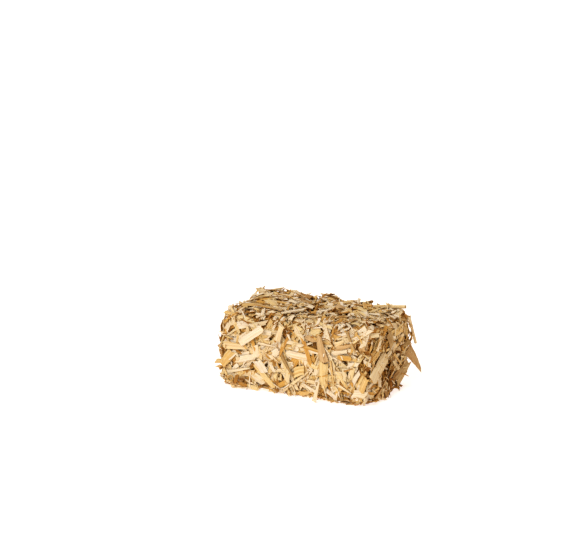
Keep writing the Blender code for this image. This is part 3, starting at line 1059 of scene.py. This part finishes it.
# shape, across, up, length, width (mm), turn (degrees), kind, tone
STANDING_OUT = {"front": [
    ("split", -33.4, 14.2, 6.2, 1.5, -12, "leaf", 7),
    ("flake", -33.4, 11.8, 6.2, 2.4, 168, "leaf", 5),
    ("split", -33.4, 9.4, 6.0, 1.8, 14, "skin", 9),
    ("split", -13.4, 10.4, 5.4, 2.8, -50, "pith", 0),
    ("split", -19.4, 13.2, 7.6, 2.3, 15, "pith", 2),
    ("shred", -4.8, 1.4, 7.3, 0.8, -37, "pith", 4),
    ("split", -3.4, 20.4, 7.9, 1.4, 67, "amber", 3),
    ("flake", 4.8, 1.9, 5.0, 2.9, 12, "skin", 8),
    ("split", 3.3, 11.1, 5.0, 3.6, 22, "skin", 6),
    ("split", 7.2, 19.0, 10.6, 1.5, -73, "amber", 2),
    ("split", 1.7, 21.9, 7.9, 1.4, -2, "pith", 5),
    ("flake", 8.2, 24.6, 5.4, 2.3, -14, "leaf", 1),
    ("flake", 20.5, 24.3, 5.4, 2.6, 29, "pith", 11),
    ("split", 26.8, 17.0, 4.2, 1.6, 8, "pith", 3),
    ("split", 31.6, 18.8, 6.3, 1.4, -88, "skin", 8),
    ("shred", 18.4, 12.6, 9.5, 1.1, -82, "skin", 7),
    ("flake", 22.6, 23.3, 7.6, 2.4, 17, "leaf", 2),
    ("split", 29.4, 5.6, 5.0, 3.0, -8, "pith", 1),
    ("split", 27.6, 11.6, 5.6, 1.6, 62, "pith", 2),
    ("shred", -21.0, 0.8, 6.5, 0.7, 12, "pith", 5),
], "end": [
    ("split", 8.6, 22.6, 7.4, 1.6, 85, "grey", 2),
    ("flake", 12.2, 18.6, 6.2, 2.6, -14, "grey", 9),
    ("split", 17.6, 22.6, 7.0, 2.6, 82, "skin", 12),
    ("flake", 18.6, 17.8, 6.4, 2.8, 100, "leaf", 6),
    ("split", 17.8, 25.2, 5.2, 2.0, 60, "skin", 9),
], "top": [
    ("split", -25.8, -8.9, 8.8, 1.3, 49, "grey", 1),
    ("flake", 9.6, 2.4, 5.2, 3.4, 40, "leaf", 2),
    ("split", -13.7, -9.0, 10.5, 1.4, 8, "grey", 2),
]}
print(sum(map(len, STANDING_OUT.values())), "small chips are laid one by one")

# %% [markdown]
# Nothing is brushed off any more, and a chip may lie over a large one.

# %% Laying them on the pile
for side_number, (side_name, side) in enumerate(SIDES.items()):
    if side_name == "base":
        continue
    rng = np.random.default_rng([SEED, side_number, 50])
    side.height = np.where(side.skin > NONE, np.maximum(side.height, side.lid), NONE)
    side.room[:] = OPEN
    side.proudest = FAR
    parts = strew(side, LOOSE, rng)
    for shape, across, up, length, width, turn, kind, tone in STANDING_OUT.get(side_name, []):
        plain = SHAPES[shape][0]
        placed = rest(side, plain, across * MM, up * MM, math.radians(turn), length * MM,
                      width * MM, np.zeros(2), False, HELD_BY_HAND)
        laid = [(0, *placed, length * MM, width * MM)]
        parts += lay([plain], laid, {kind: 1}, (tone, tone), rng)
    build(f"loose_{side_name}", parts)

# %% [markdown]
# ## Stem ends and the foot
#
# Stubs stand in the walls with one open end outwards. On the top, where stems lie flat, there are
# none. Those in the front are listed one by one: across, up and how thick they are.

# %% Stem ends
STUBS = {"front": [(-26.6, 3.4, 2.6), (13.8, 5.4, 2.2)]}
STUBS_A_SIDE = 5
STUB_ACROSS = (1.3, 2.4)  # mm
STUB_LONG = (1.2, 1.8)    # length, as a share of what it is across
STUB_TILT = 0.5           # slope, at most, off straight out of the wall
STUB_SUNK = 0.3           # how far a stub's middle is below the ground, of its length

parts = []
rng = np.random.default_rng([SEED, 60])
for side_name, side in SIDES.items():
    if side_name in ("base", "top"):
        continue
    spots = [(x * MM, y * MM, across * MM) for x, y, across in STUBS.get(side_name, [])]
    strewn = 0 if side_name in STUBS else STUBS_A_SIDE
    for j, i in side.cells[rng.integers(len(side.cells), size=strewn)]:
        spots.append((side.columns[i], side.rows[j], rng.uniform(*STUB_ACROSS) * MM))
    laid = []
    for x, y, across in spots:
        j, i = [int(np.abs(grid - at).argmin()) for grid, at in ((side.rows, y), (side.columns, x))]
        tilt = rng.uniform(-STUB_TILT, STUB_TILT, 2)
        along = (side.out + side.right * tilt[0] + side.up * tilt[1]).normalized()
        aside = along.cross(side.up).normalized()
        long = across * rng.uniform(*STUB_LONG)
        depth = side.height[j, i] - STUB_SUNK * long
        middle = side.right * x + side.up * max(y, across) + side.out * depth
        laid.append((0, middle, (along, aside, along.cross(aside)), long, across))
    parts += lay(SHAPES["stub"], laid, {"skin": 5, "leaf": 2}, (2, 14), rng)
print(sum(len(at) for at, _, _ in parts), "stem ends")

# %% [markdown]
# At the foot, chips lie on the table and stick out from under the bale. They belong to the
# underside's pile, so they settle on that one, in a strip along its border.

# %% The fringe at the foot
FRINGE = 110             # chips
FRINGE_LEAN = 6          # degrees
FRINGE_REACH = 1.5 * MM  # width of the strip that they lie in
FRINGE_END = 29 * MM     # beyond this the foot is worn round and has no fringe
HELD_AT_FOOT = 0.35      # share of a chip at the foot that must be under the bale

base = SIDES["base"]
held = base.skin > NONE
inner = held.copy()
steps = round(FRINGE_REACH / CELL)
for step, axis in itertools.product((-steps, steps), (0, 1)):
    inner &= np.roll(held, step, axis)
border = np.argwhere(held & ~inner)
border = border[base.columns[border[:, 1]] < FRINGE_END]
for shape, share, length, width in (
        ("split", 0.3, (3, 8), (0.9, 2.4)), ("flake", 0.3, (3, 7), (1.0, 2.6)),
        ("shred", 0.4, (3, 8), (0.4, 1.0))):
    laid = handful(base, border, SHAPES[shape], round(FRINGE * share), length, width,
                   FRINGE_LEAN, 1, rng, HELD_AT_FOOT)
    parts += lay(SHAPES[shape], laid, {"skin": 5, "pith": 3, "amber": 3, "leaf": 2}, (0, 15), rng)
build("stem_ends_and_fringe", parts)
